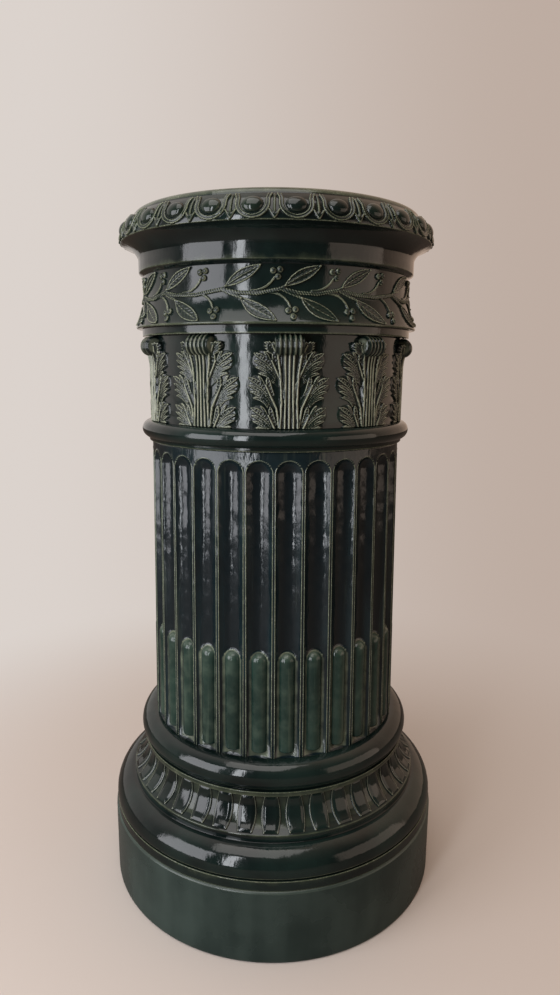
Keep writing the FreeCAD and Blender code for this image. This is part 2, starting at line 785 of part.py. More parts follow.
def strip_face(run, climb, width, sag, height):
    """A bent strip that goes right by run and up by climb, its middle at a height."""
    length = math.hypot(run, climb)
    low, high = -width / 2, width / 2
    face = drawing(
        [(-length / 2, low), (length / 2, low), (length / 2, high), (-length / 2, high)],
        [sag, 0, -sag, 0],
    )
    face.rotate(FreeCAD.Vector(), OUT, math.degrees(math.atan2(climb, run)))
    face.translate(UP * height)
    return face


def berries(arc, height, shell):
    """Three round berries that touch, round a point of the frieze."""
    ball = value("berry_round")
    pieces = []
    for turn in (30, 150, 270):
        aside = value("berry_spread") * math.cos(math.radians(turn))
        above = height + value("berry_spread") * math.sin(math.radians(turn))
        bar = Part.makeCylinder(ball, 2 * value("plinth_radius"), on_plane(aside, above), OUT)
        piece = bar.common(shell)
        piece.rotate(FreeCAD.Vector(), UP, math.degrees(arc / value("frieze_radius")))
        pieces.append(piece)
    return pieces


def shoot(reach, stem_end, shell):
    """One shoot whose joint is at +X; its stem runs on to stem_end."""
    stem, stalk = value("stem_width"), value("stalk_width")
    level = value("stem_height")
    length, width = value("laurel_length"), value("laurel_width")
    upper, lower = value("upper_leaf_slant"), value("lower_leaf_slant")
    rise = length * math.sin(math.radians(upper)) / 2
    fall = length * math.sin(math.radians(lower)) / 2
    upper_middle = length * math.cos(math.radians(upper)) / 2
    run, climb = value("stalk_run"), value("stalk_climb")
    lower_middle = run + length * math.cos(math.radians(lower)) / 2 - stalk
    drop = climb + value("berry_drop")
    high_stalk, low_stalk = (reach * value(s) for s in ("high_stalk_share", "low_stalk_share"))
    length_of_stem = stem_end + stem / 2
    middle_of_stem = (stem_end - stem / 2) / 2
    sag = value("stem_sag")
    pieces = [
        on_frieze(strip_face(length_of_stem, 0, stem, sag, level), middle_of_stem, shell),
        on_frieze(leaf_face(length, width, upper, level + rise), upper_middle, shell),
        on_frieze(strip_face(run, -climb, stalk, 0, level - climb / 2), run / 2, shell),
        on_frieze(leaf_face(length, width, lower, level - climb + fall), lower_middle, shell),
        on_frieze(strip_face(run, climb, stalk, stalk, level + climb / 2), high_stalk, shell),
        on_frieze(strip_face(run, -drop, stalk, -stalk, level - drop / 2), low_stalk, shell),
    ]
    tip = run / 2 + value("berry_round")
    pieces += berries(high_stalk + tip, level + climb, shell)
    pieces += berries(low_stalk + tip, level - drop, shell)
    return pieces


def laurel_spray():
    """Three shoots joined into one solid and cut to sit on the flared frieze."""
    shell = frieze_shell()
    starts = [0, value("second_shoot_turn"), value("third_shoot_turn"), 360 / value("spray_count")]
    overlap = value("stem_width") / 2
    pieces = []
    for i, start in enumerate(starts[:-1]):
        reach = math.radians(starts[i + 1] - start) * value("frieze_radius")
        last = i == len(starts) - 2
        stem_end = reach - overlap - value("spray_gap") if last else reach + overlap
        for piece in shoot(reach, stem_end, shell):
            piece.rotate(FreeCAD.Vector(), UP, start)
            pieces.append(piece)
    return plain(pieces[0].multiFuse(pieces[1:]).cut(pot_body.Shape))


spray_shape = laurel_spray()
sprays = []
for i in range(round(value("spray_count"))):
    spray = doc.addObject("Part::Feature", f"laurel_spray_{i + 1}")
    spray.Shape = spray_shape
    turn = FRONT + value("spray_turn") + 360 * i / value("spray_count")
    spray.Placement = FreeCAD.Placement(FreeCAD.Vector(), UP, turn)
    sprays.append(spray)
doc.recompute()

# ---------------------------------------------------------------------------
# Checks and export
# ---------------------------------------------------------------------------

NODES = [plinth_ring, stand_base, scotia_tongues, stand_shaft, flute_reeds]
NODES += [pot_body, *leaves, *sprays, rim_eggs, rim_collars, rim_darts]

for item in doc.Objects:
    if "Invalid" in item.State or "Error" in item.State:
        raise RuntimeError(f"{item.Label} did not rebuild")
os.makedirs("parts", exist_ok=True)
for item in NODES:
    if item.Shape.isNull() or not item.Shape.isValid():
        raise RuntimeError(f"{item.Label} has no valid shape")
    print(f"{item.Label}: {len(item.Shape.Solids)} solids, {item.Shape.Volume / 1000:.1f} cm3")
for item in NODES:
    item.Shape.exportStep(f"parts/{item.Label}.step")
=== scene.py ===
import math
import bpy
import numpy as np
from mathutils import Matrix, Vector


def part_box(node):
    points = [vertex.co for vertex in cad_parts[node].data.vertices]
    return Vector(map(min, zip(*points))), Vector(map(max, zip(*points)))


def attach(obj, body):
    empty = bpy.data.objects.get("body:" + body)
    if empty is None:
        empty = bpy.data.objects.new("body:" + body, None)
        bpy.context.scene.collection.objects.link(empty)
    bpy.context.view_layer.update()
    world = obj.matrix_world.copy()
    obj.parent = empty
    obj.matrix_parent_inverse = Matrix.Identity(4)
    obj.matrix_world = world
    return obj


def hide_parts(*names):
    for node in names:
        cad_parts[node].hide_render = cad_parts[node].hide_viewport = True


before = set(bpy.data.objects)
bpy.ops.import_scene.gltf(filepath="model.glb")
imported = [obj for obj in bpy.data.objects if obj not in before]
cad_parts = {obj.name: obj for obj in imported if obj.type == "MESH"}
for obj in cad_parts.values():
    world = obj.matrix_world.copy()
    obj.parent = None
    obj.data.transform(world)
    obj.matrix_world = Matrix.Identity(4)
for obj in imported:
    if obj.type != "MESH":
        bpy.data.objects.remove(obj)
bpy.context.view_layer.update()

# ---------------------------------------------------------------------------
# Plinth ring: the plain foot of the stand, a wide hollow band of earthenware.
# Its glaze is thinner than elsewhere, rubbed to a satin and mottled where it ran.
# The base sits on it without a bond, so a fine dark joint runs between the two.
# ---------------------------------------------------------------------------

MM = 0.001


def arc(start, end, rise, count):
    """Points on a circle's arc: the chord's middle moved square to it, to the right, by rise."""
    start, end = np.array(start, float), np.array(end, float)
    length = math.hypot(*(end - start))
    along = (end - start) / length
    right = np.array([along[1], -along[0]])
    half = 2 * math.atan(2 * rise / length)
    radius = length / (2 * math.sin(half))
    turn = np.linspace(-half, half, count)[:, None]
    lift = right * (np.cos(turn) - math.cos(half))
    return (start + end) / 2 + radius * (along * np.sin(turn) + lift)


def moulded(corners, ease=1.4, longest=12, closed=False):
    """Radius, height and ridge value along an outline given anticlockwise in millimetres.

    A corner with a third number starts an arc with that rise. The outline is walked in
    even steps and averaged over a window as wide as ease each way, which rounds its
    corners as glaze does. It is then walked again in steps that shorten where it turns.
    The ridge value is the turn per step: above zero on outer edges, below it in hollows.
    """
    ends = corners[1:] + corners[:1] if closed else corners[1:]
    path = []
    for corner, following in zip(corners, ends):
        if len(corner) == 3:
            path += list(arc(corner[:2], following[:2], corner[2], 40)[:-1])
        else:
            path.append(corner)
    path.append(ends[-1][:2])
    path = np.array([point[:2] for point in path], float)
    length = np.r_[0, np.cumsum(np.hypot(*np.diff(path, axis=0).T))]
    step = 0.2
    walk = np.linspace(0, length[-1], round(length[-1] / step) + 1)
    even = np.stack([np.interp(walk, length, path[:, i]) for i in range(2)], 1)
    reach = round(ease / step)
    window = np.hanning(2 * reach + 3)[1:-1]
    window /= window.sum()
    if closed:
        before, after = even[-1 - reach : -1], even[1 : reach + 1]
    else:
        before, after = 2 * even[0] - even[reach:0:-1], 2 * even[-1] - even[-2 : -reach - 2 : -1]
    padded = np.concatenate([before, even, after])
    smooth = np.stack([np.convolve(padded[:, i], window, "valid") for i in range(2)], 1)
    heading = np.unwrap(np.arctan2(*np.gradient(smooth, axis=0).T[::-1]))
    turn = np.gradient(heading)
    ridge = np.clip(np.convolve(turn / step * 1.4, window, "same"), -1, 1)
    pace = np.r_[0, np.cumsum(np.abs(turn[1:]) / 0.26 + step / longest)]
    stops = np.linspace(0, pace[-1], round(pace[-1]) + 1)
    rows = np.stack([np.interp(stops, pace, v) for v in (*smooth.T, ridge)], 1)
    return rows[:-1] if closed else rows


def skin(grid, ridge, closed):
    """A shape from a grid of points that wraps round in its columns.

    Its rows close into a loop, or end in a single point each as the poles of a ball.
    """
    index = np.arange(grid.shape[0] * grid.shape[1]).reshape(grid.shape[:2])
    if closed:
        lower, upper = index, np.roll(index, -1, 0)
        caps = np.zeros((0, 3), int)
    else:
        lower, upper = index[1:-2], index[2:-1]
        foot, head = index[1], index[-2]
        first = np.stack([np.full_like(foot, index[0, 0]), np.roll(foot, -1), foot], 1)
        last = np.stack([np.full_like(head, index[-1, 0]), head, np.roll(head, -1)], 1)
        caps = np.concatenate([first, last])
    quads = np.stack([lower, np.roll(lower, -1, 1), np.roll(upper, -1, 1), upper], -1)
    return grid.reshape(-1, 3), quads.reshape(-1, 4), caps, ridge.ravel()


def revolved(rows, turn, closed, relief=0.0, ridge=0.0):
    """The rows of an outline turned round Z: x = r sin, y = -r cos, with r = radius + relief.

    turn holds the angle of each column, or is the number of evenly turned columns.
    """
    if isinstance(turn, int):
        turn = np.linspace(0, 2 * math.pi, turn, endpoint=False)
    radius = rows[:, :1] + relief * np.ones(len(turn))
    height = rows[:, 1:2] * np.ones(len(turn))
    grid = np.stack([radius * np.sin(turn), -radius * np.cos(turn), height], -1) * MM
    return skin(grid, rows[:, 2:3] + ridge * np.ones(len(turn)), closed)


def make(name, shape, nodes, body, material):
    """Puts a shape in a mesh with its faces outwards, and ties the piece to the frame."""
    points, quads, caps, ridge = shape
    used, place = np.unique(np.concatenate([quads.ravel(), caps.ravel()]), return_inverse=True)
    points, ridge = points[used], ridge[used]
    quads = place[: quads.size].reshape(-1, 4)
    caps = place[quads.size :].reshape(-1, 3)
    halves = np.concatenate([quads[:, :3], quads[:, [0, 2, 3]], caps])
    a, b, c = (points[halves[:, i]] for i in range(3))
    if np.einsum("ij,ij->", a, np.cross(b, c)) < 0:
        quads, caps = quads[:, ::-1], caps[:, ::-1]
    mesh = bpy.data.meshes.new(name)
    mesh.vertices.add(len(points))
    mesh.vertices.foreach_set("co", points.astype(np.float32).ravel())
    mesh.loops.add(quads.size + caps.size)
    mesh.loops.foreach_set("vertex_index", np.r_[quads.ravel(), caps.ravel()].astype(np.int32))
    mesh.polygons.add(len(quads) + len(caps))
    starts = np.r_[np.arange(len(quads)) * 4, quads.size + np.arange(len(caps)) * 3]
    mesh.polygons.foreach_set("loop_start", starts.astype(np.int32))
    mesh.update(calc_edges=True)
    mesh.shade_smooth()
    values = mesh.attributes.new("ridge", "FLOAT", "POINT")
    values.data.foreach_set("value", ridge.astype(np.float32))
    mesh.materials.append(material)
    piece = bpy.data.objects.new(name, mesh)
    bpy.context.scene.collection.objects.link(piece)
    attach(piece, body)
    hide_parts(*nodes)


class Wire:
    """A shader socket that can be added to, taken from and multiplied."""

    def __init__(self, recipe, socket):
        self.recipe, self.socket = recipe, socket

    def math(self, operation, first, second):
        sockets = {0: first, 1: second}
        return self.recipe.add("ShaderNodeMath", {"operation": operation}, sockets)

    def __add__(self, other):
        return self.math("ADD", self, other)

    def __sub__(self, other):
        return self.math("SUBTRACT", self, other)

    def __mul__(self, other):
        return self.math("MULTIPLY", self, other)

    def fade(self, low, high, first=0.0, last=1.0):
        """Goes smoothly from first to last while the wire goes from low to high."""
        settings = {"interpolation_type": "SMOOTHSTEP"}
        return self.recipe.add(
            "ShaderNodeMapRange", settings, {0: self, 1: low, 2: high, 3: first, 4: last}
        )


class Recipe:
    """A material, or the world, being put together node by node."""

    def __init__(self, holder):
        self.holder = holder
        holder.use_nodes = True
        self.tree = holder.node_tree
        self.tree.nodes.clear()

    def add(self, kind, settings=None, sockets=None, output=0):
        """One node: its settings first, then each socket's value or link; its output is given."""
        node = self.tree.nodes.new(kind)
        for key, setting in (settings or {}).items():
            setattr(node, key, setting)
        for key, given in (sockets or {}).items():
            if isinstance(given, Wire):
                self.tree.links.new(given.socket, node.inputs[key])
            else:
                node.inputs[key].default_value = given
        return Wire(self, node.outputs[output]) if node.outputs else None

    def noise(self, place, scale, detail=2.0, stretch=(1, 1, 1), seed=0.0):
        """Soft random values from 0 to 1, drawn out along the axes by stretch."""
        sockets = {"Vector": place, "Location": (seed, seed, seed), "Scale": stretch}
        moved = self.add("ShaderNodeMapping", None, sockets)
        sockets = {"Vector": moved, "Scale": scale, "Detail": detail}
        return self.add("ShaderNodeTexNoise", None, sockets)

    def blend(self, factor, first, second):
        """One colour over another, by a factor."""
        settings = {"data_type": "RGBA"}
        return self.add("ShaderNodeMix", settings, {0: factor, 6: first, 7: second}, output=2)

    def finish(self, colour, roughness, height):
        """The glaze itself: a smooth dielectric whose bumps are given in millimetres."""
        sockets = {"Strength": 1.0, "Distance": MM, "Height": height}
        normal = self.add("ShaderNodeBump", None, sockets)
        sockets = {
            "Base Color": colour,
            "Roughness": roughness,
            "Normal": normal,
            "IOR": 1.5,
        }
        surface = self.add("ShaderNodeBsdfPrincipled", None, sockets)
        self.add("ShaderNodeOutputMaterial", None, {"Surface": surface})
        return self.holder


def satin_glaze():
    """Thin grey-green glaze: cloudy patches, faint upright runs and a paler edge, partly wear and
    partly a painted highlight.
    """
    recipe = Recipe(bpy.data.materials.new("satin_glaze"))
    place = recipe.add("ShaderNodeTexCoord", output="Object")
    ridge = recipe.add("ShaderNodeAttribute", {"attribute_name": "ridge"}, output="Fac")
    clouds = recipe.noise(place, 9, 4, seed=2.0)
    runs = recipe.noise(place, 34, 3, stretch=(1, 1, 0.12), seed=5.0)
    grain = recipe.noise(place, 420, 2)
    colour = recipe.blend(
        (clouds * 0.7 + runs * 0.3).fade(0.38, 0.64),
        (0.018, 0.032, 0.028, 1),
        (0.044, 0.066, 0.057, 1),
    )
    # Edges are painted paler: partly worn glaze, partly a painted highlight.
    colour = recipe.blend(ridge.fade(0.2, 1.0) * 0.55, colour, (0.15, 0.17, 0.12, 1))
    roughness = clouds.fade(0.3, 0.7, 0.20, 0.34)
    return recipe.finish(colour, roughness, clouds * 0.6 + grain * 0.1)


foot_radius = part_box("plinth_ring")[1].x / MM
foot_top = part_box("plinth_ring")[1].z / MM
foot_wall = 20
foot_edge = 2
plinth_outline = [
    (foot_radius - foot_wall, 0),
    (foot_radius - foot_edge, 0),
    (foot_radius, foot_edge),
    (foot_radius, foot_top - foot_edge),
    (foot_radius - foot_edge, foot_top),
    (foot_radius - foot_wall, foot_top),
]
plinth_rows = moulded(plinth_outline, closed=True)
plinth = revolved(plinth_rows, 288, closed=True)
make("plinth", plinth, ["plinth_ring"], "stand", satin_glaze())

# ---------------------------------------------------------------------------
# Base mouldings: fillet, groove, cushion, recess, hollow scotia, fillet and torus,
# turned in one piece and hollow inside, under a deep bottle-green glaze that pools
# nearly black in the hollows; every edge is olive, partly as thin glaze and partly
# as a painted highlight.
# ---------------------------------------------------------------------------


def bottle_glaze(name, pool, body, thin_glaze_and_highlight, wear=0.0, runs=0.0, swell=0.5, broken=0.12, dull=0.06):
    """Deep glossy glaze: dark where it pools, green on the flat and olive on the ridges,
    an olive that is partly thin glaze and partly a painted highlight.

    Clouds vary its depth, upright runs streak it, and wear lets pale spots through. Its
    surface has a slow swell and finer waves that break up reflections, in millimetres;
    dull is its least roughness.
    """
    recipe = Recipe(bpy.data.materials.new(name))
    place = recipe.add("ShaderNodeTexCoord", output="Object")
    ridge = recipe.add("ShaderNodeAttribute", {"attribute_name": "ridge"}, output="Fac")
    clouds = recipe.noise(place, 11, 4, seed=1.0)
    patches = recipe.noise(place, 60, 3, seed=3.0)
    streaks = recipe.noise(place, 130, 3, stretch=(1, 1, 0.05), seed=4.0)
    specks = recipe.noise(place, 700, 2, seed=6.0)
    slow = recipe.noise(place, 38, 1, seed=7.0)
    waves = recipe.noise(place, 190, 2, stretch=(1, 1, 0.4), seed=8.0)
    uneven = ridge + (patches - 0.5) * 0.7
    colour = recipe.blend(clouds.fade(0.35, 0.68), pool, body)
    colour = recipe.blend(streaks.fade(0.55, 0.75) * runs, colour, thin_glaze_and_highlight)
    colour = recipe.blend(ridge.fade(-0.1, -0.7), colour, pool)
    # Ridges are painted olive: partly thin glaze, partly a painted highlight.
    colour = recipe.blend(uneven.fade(0.25, 0.95), colour, thin_glaze_and_highlight)
    chalk = (0.36, 0.36, 0.27, 1)
    bare = uneven.fade(0.6, 1.0) * specks.fade(0.50, 0.62) * wear
    colour = recipe.blend(bare, colour, chalk)
    roughness = patches.fade(0.3, 0.7, dull, dull + 0.07) + bare * 0.3
    height = slow * swell + waves * broken + specks * 0.03
    return recipe.finish(colour, roughness, height)


POOL = (0.0035, 0.0075, 0.0072, 1)
BOTTLE = (0.010, 0.021, 0.018, 1)
OLIVE = (0.075, 0.090, 0.055, 1)

base_outline = [
    (211, 99),
    (229, 99),
    (229, 112),
    (225, 112),
    (225, 115),
    (229, 115, 6.5),
    (208, 145),
    (203, 145),
    (203, 154, -7),
    (180, 196),
    (187, 196),
    (187, 202),
    (182.5, 202, 13),
    (172.5, 237),
    (149.5, 237),
    (162, 202),
    (162, 154),
    (190, 145),
    (211, 115),
]
base_glaze = bottle_glaze("base_glaze", POOL, BOTTLE, OLIVE, wear=0.4)
base_rows = moulded(base_outline, closed=True)
# The glaze is thin on the strips of scotia that show between the tongues.
in_scotia = (base_rows[:, 0] > 178) & (base_rows[:, 1] > 157) & (base_rows[:, 1] < 194)
base_rows[in_scotia, 2] += 0.5
base = revolved(base_rows, 288, closed=True)
make("base_mouldings", base, ["stand_base"], "stand", base_glaze)

# ---------------------------------------------------------------------------
# Tongues: a course of barrel-shaped pads pressed onto the scotia, 39 in all. Each
# is glossy, with a raised line down both sides; the narrow waisted strips between
# them are the scotia itself.
# ---------------------------------------------------------------------------


def proud(height, reach):
    """How far each point stands above the mean of its neighbours within reach cells."""
    ground = np.maximum(height, 0)
    span = range(-reach, reach + 1)
    shifts = [(i, j) for i in span for j in span if i * i + j * j <= reach * reach]
    return ground - sum(np.roll(ground, shift, (0, 1)) for shift in shifts) / len(shifts)


def plate(across, up, height, place, reach=2, full=0.5, sunk=1.5):
    """A closed relief on the cells of an (up, across) grid where its height is above zero.

    The front follows place(across, up, height), the back lies sunk below the ground, and
    walls join the two round every edge. Ridge values reach 1 where it stands proud by full.
    """
    top = np.maximum(height[:, 1:], height[:, :-1])
    kept = np.maximum(top[1:], top[:-1]) > 0
    for _ in range(3):
        rising = kept[:-1, :-1] & kept[1:, 1:] & ~kept[1:, :-1] & ~kept[:-1, 1:]
        falling = ~kept[:-1, :-1] & ~kept[1:, 1:] & kept[1:, :-1] & kept[:-1, 1:]
        touching = rising | falling
        for rows in (slice(None, -1), slice(1, None)):
            for columns in (slice(None, -1), slice(1, None)):
                kept[rows, columns] |= touching
    index = np.arange(height.size).reshape(height.shape)
    i, j = np.nonzero(kept)
    front = np.stack([index[i, j], index[i, j + 1], index[i + 1, j + 1], index[i + 1, j]], 1)
    fringe = np.pad(kept, 1)
    faces = [front, front[:, ::-1] + height.size]
    for side, (row, column) in enumerate([(-1, 0), (0, 1), (1, 0), (0, -1)]):
        edge = front[~fringe[i + 1 + row, j + 1 + column]]
        a, b = edge[:, side], edge[:, (side + 1) % 4]
        faces.append(np.stack([b, a, a + height.size, b + height.size], 1))
    level = np.maximum(height, -0.4)
    points = np.concatenate(
        [place(across, up, h).reshape(-1, 3) for h in (level, np.full_like(height, -sunk))]
    )
    ridge = np.clip(proud(height, reach) / full, -1, 1).ravel()
    caps = np.zeros((0, 3), int)
    return points * MM, np.concatenate(faces), caps, np.r_[ridge, ridge]


def turned(shape, degrees):
    """A shape turned round Z by an angle, to the right as seen from the front."""
    c, s = math.cos(math.radians(degrees)), math.sin(math.radians(degrees))
    return (shape[0] @ np.array([[c, s, 0], [-s, c, 0], [0, 0, 1]]), *shape[1:])


def joined(shapes):
    """Several shapes as one, with their points numbered on."""
    starts = np.cumsum([0] + [len(shape[0]) for shape in shapes[:-1]])
    quads = [shape[1] + start for shape, start in zip(shapes, starts)]
    caps = [shape[2] + start for shape, start in zip(shapes, starts)]
    points, values = [shape[0] for shape in shapes], [shape[3] for shape in shapes]
    return tuple(np.concatenate(part) for part in (points, quads, caps, values))


def course(shape, count, start):
    """Copies of a shape at even steps round Z, the first at an angle from the front."""
    return joined([turned(shape, start + 360 * i / count) for i in range(count)])


def on_curve(curve):
    """A placing function for a ground that is a curve turned round Z.

    across is an arc length at the curve's mean radius, up a length along the curve, and
    height is taken square to it: x = r sin(across / mean), y = -r cos(across / mean).
    """
    length = np.r_[0, np.cumsum(np.hypot(*np.diff(curve, axis=0).T))]
    slope = np.gradient(curve, axis=0) / np.gradient(length)[:, None]
    mean = curve[:, 0].mean()

    def place(across, up, height):
        radius, level, run, climb = (
            np.interp(up, length, v) for v in (*curve.T, *slope.T)
        )
        radius = radius + height * climb
        level = level - height * run
        angle = across / mean
        return np.stack([radius * np.sin(angle), -radius * np.cos(angle), level], -1)

    return place, length[-1]


tongue_count = 39
tongue_turn = -0.5
tongue_end, tongue_middle = 8.25, 12.2
tongue_margin = 2.2
tongue_rise, line_rise = 2.6, 0.8
line_inset, line_width = 0.9, 0.6

# The grid's columns follow the curved sides and end just outside them.
scotia, scotia_length = on_curve(arc((203, 154), (180, 196), -7, 60))
rows, columns = np.linspace(0.4, scotia_length - 0.4, 40), np.linspace(-1.06, 1.06, 31)
share = rows[:, None] / scotia_length
half_width = tongue_end + (tongue_middle - tongue_end) * np.sin(math.pi * share)
across, up = half_width * columns, rows[:, None] * np.ones(len(columns))
from_side = 1 - np.abs(across) / half_width
from_end = np.minimum(up - tongue_margin, scotia_length - tongue_margin - up) / half_width
inside = np.minimum(from_side, np.minimum(from_end, 1))
pad = tongue_rise * np.sqrt(np.clip(inside * 2.2, 0, 1))
side_line = line_rise * np.exp(-(((from_side * half_width - line_inset) / line_width) ** 2))
panel = np.where(inside > 0, pad + side_line * (from_end > 0.08), -1)
tongue = plate(across, up, panel, scotia)
tongue_glaze = bottle_glaze("tongue_glaze", POOL, BOTTLE, (0.14, 0.155, 0.11, 1), wear=0.5)
tongues = course(tongue, tongue_count, tongue_turn)
make("tongues", tongues, ["scotia_tongues"], "stand", tongue_glaze)

# ---------------------------------------------------------------------------
# Fluted shaft: a slightly tapering hollow column with 30 arched flutes, closed on
# top by the deck and the low ring that hold the pot. A thin bead runs round each
# flute, and the flute's floor is stepped up behind the reed that fills its foot.
# ---------------------------------------------------------------------------

shaft_foot, shaft_top = 237, 619
shaft_radius, shaft_taper = 169.5, 4
flute_count = 30
flute_round, flute_depth = 18.5, 8.5
flute_margin = 10.3
reed_round, reed_foot, reed_head = 9.75, 243, 372
halo_round, halo_depth = 13.0, 0.9
bead_rise, bead_inset, bead_width = 0.45, 0.3, 0.5
corner_ease = 0.6
deck_level, tube_inner, deck_inner = 603, 149.5, 145.5
ring_outer, ring_inner, ring_top = 138, 126, 625

flute_edge = math.sqrt(flute_round**2 - (flute_round - flute_depth) ** 2)
arch_centre = shaft_top - flute_margin - flute_edge
halo_centre = reed_head - reed_round
levels = np.unique(
    np.r_[
        np.linspace(shaft_foot + corner_ease, halo_centre, 6),
        np.linspace(halo_centre, halo_centre + halo_round + 3, 15),
        np.linspace(halo_centre + halo_round + 3, arch_centre, 5),
        np.linspace(arch_centre, arch_centre + flute_edge + 2.5, 26),
        shaft_top - 5,
        shaft_top - 2,
        shaft_top - corner_ease,
    ]
)
side = np.stack(
    [shaft_radius - shaft_taper * (levels - shaft_foot) / (shaft_top - shaft_foot), levels], 1
)
inner_corners = [
    (0, deck_level),
    (deck_inner, deck_level),
    (tube_inner, shaft_foot),
    (shaft_radius - 1, shaft_foot),
]
inner_rows = moulded(inner_corners, longest=60)
head_corners = [
    (shaft_radius - shaft_taper - corner_ease, shaft_top),
    (ring_outer, shaft_top),
    (ring_outer, ring_top),
    (ring_inner, ring_top),
    (ring_inner, shaft_top),
    (0, shaft_top),
]
head_rows = moulded(head_corners, longest=60)
side_rows = np.concatenate([side, np.zeros((len(side), 1))], 1)
shaft_rows = np.concatenate([inner_rows, side_rows, head_rows])

# The columns stand close at the edges of the flutes, where the beads run.
half_pitch = math.pi / flute_count
edge_share = flute_edge / (shaft_radius * half_pitch)
half_flute = np.r_[
    np.linspace(0, edge_share - 0.06, 8),
    np.linspace(edge_share - 0.03, edge_share + 0.055, 6),
    edge_share + 0.08,
]
one_flute = half_pitch * np.r_[-1, -half_flute[:0:-1], half_flute]
turn = np.concatenate([one_flute + (2 * i + 1) * half_pitch for i in range(flute_count)])
from_middle = (turn % (2 * half_pitch) - half_pitch) * side[:, :1]
above_arch = np.maximum(levels[:, None] - arch_centre, 0)
reach = np.hypot(from_middle, above_arch)
cut = np.sqrt(np.maximum(flute_round**2 - reach**2, 0)) - (flute_round - flute_depth)
cut = np.maximum(cut, 0)
bead = np.exp(-(((reach - flute_edge - bead_inset) / bead_width) ** 2))
above_reed = np.maximum(levels[:, None] - halo_centre, 0)
halo_reach = np.hypot(from_middle, above_reed)
halo = halo_depth * np.clip((halo_round - halo_reach) / 1.2, 0, 1)
halo_line = np.exp(-(((halo_reach - halo_round + 0.8) / 0.9) ** 2))
relief = np.zeros((len(shaft_rows), len(turn)))
ridge = np.zeros_like(relief)
shown = slice(len(inner_rows), len(inner_rows) + len(side))
relief[shown] = -cut + bead_rise * bead + np.minimum(halo, cut)
# Beads and the halo's rim line are painted pale, partly thin glaze and partly painted highlights;
# the halo is paler and the open flute floors dark where glaze pools.
open_flute = (1 - halo / halo_depth) * (cut / flute_depth) ** 2
ridge[shown] = 1.1 * bead + 0.3 * halo_line + 0.6 * halo / halo_depth - 0.9 * open_flute
shaft_glaze = bottle_glaze(
    "shaft_glaze", (0.004, 0.010, 0.013, 1), (0.009, 0.021, 0.025, 1), (0.19, 0.22, 0.15, 1),
    wear=0.9, runs=0.15, swell=1.4, broken=0.5, dull=0.13,
)
shaft = revolved(shaft_rows, turn, closed=False, relief=relief, ridge=ridge)
make("fluted_shaft", shaft, ["stand_shaft"], "stand", shaft_glaze)

# ---------------------------------------------------------------------------
# Reeds: round bars with domed heads that fill the lower third of every flute, a
# little wider than deep. They are glazed greener, as the glaze lies thin on them.
# ---------------------------------------------------------------------------

reed_sides = 24
reed_widening, reed_proud = 1.12, 0.6
bend = np.linspace(0, math.pi / 2, 8)
foot_ease = 3.0
reed_along = np.r_[
    reed_foot,
    reed_foot,
    reed_foot + foot_ease * (1 - np.cos(bend[1:])),
    np.linspace(reed_foot + foot_ease, halo_centre, 8)[1:],
    halo_centre + reed_round * np.sin(bend[1:]),
]
reed_size = np.r_[
    0,
    reed_round - foot_ease,
    reed_round - foot_ease + foot_ease * np.sin(bend[1:]),
    np.full(7, reed_round),
    reed_round * np.cos(bend[1:]),
]
reed_size[-1] = 0
around = np.linspace(0, 2 * math.pi, reed_sides, endpoint=False)
lean = shaft_radius - shaft_taper * (reed_along - shaft_foot) / (shaft_top - shaft_foot)
outward = (lean + reed_proud - reed_round)[:, None] + reed_size[:, None] * np.cos(around)
sideways = reed_widening * reed_size[:, None] * np.sin(around)
reed_grid = np.stack([sideways, -outward, reed_along[:, None] * np.ones(reed_sides)], -1) * MM
dome = np.clip((reed_along - halo_centre) / reed_round, 0, 1)[:, None]
# Each reed's crest and domed head are painted paler: partly thin glaze, partly a painted
# highlight.
reed_ridge = 0.30 + 0.3 * dome + 0.12 * np.cos(around)
reed = skin(reed_grid, reed_ridge * np.ones_like(sideways), closed=False)
reed_glaze = bottle_glaze(
    "reed_glaze", (0.009, 0.026, 0.021, 1), (0.018, 0.044, 0.034, 1), (0.090, 0.125, 0.092, 1),
    wear=0.5, runs=0.45, swell=0.9, broken=0.6,
)
reeds = course(reed, flute_count, 180 / flute_count)
make("reeds", reeds, ["flute_reeds"], "stand", reed_glaze)

# ---------------------------------------------------------------------------
# Pot body: foot, torus, bell, band, ledge, flared frieze, fascia, cavetto, ovolo
# and lip, turned in one piece with the bowl inside, and loose on the stand.
# ---------------------------------------------------------------------------

frieze_foot = 764

pot_outline = [
    (0, 626.5),
    (139.5, 626.5),
    (139.5, 619),
    (169.5, 619),
    (169.5, 624),
    (172, 624, 9.6),
    (166, 645),
    (164, 645),
    (164, 751),
    (175, 751),
    (175, 760.5),
    (181.5, 760.5, 1.2),
    (181.5, frieze_foot, -2.5),
    (171, 806),
    (171, 825),
    (177.8, 829),
    (177.8, 846, -4),
    (199, 864, 4),
    (184, 893, 1.5),
    (177, 900),
    (167, 900),
    (164, 897),
    (164, 864),
    (157, 825),
    (150, 751),
    (150, 659.5),
    (135, 644.5),
    (0, 644.5),
]
pot_glaze = bottle_glaze("pot_glaze", POOL, BOTTLE, OLIVE, wear=0.5)
pot_rows = moulded(pot_outline, longest=16)

# The glaze is thinner on the ovolo, and thinner again on the lip.
for level, thinner in ((868, 0.25), (892, 0.3)):
    pot_rows[(pot_rows[:, 0] > 165) & (pot_rows[:, 1] > level), 2] += thinner
pot = revolved(pot_rows, 288, closed=False)
make("pot", pot, ["pot_body"], "jardiniere", pot_glaze)

# ---------------------------------------------------------------------------
# Acanthus leaves: ten pressed leaves on the bell, each with three tiers of lobes and
# an ear a side, a fan of pointed leaflets in every lobe, a bundle of ribs up the
# middle, and a head that rolls forward into a ribbed scroll under the band.
# ---------------------------------------------------------------------------

bell_radius = 164
bell_foot = 645.4
leaf_count, leaf_turn = 10, 5.6

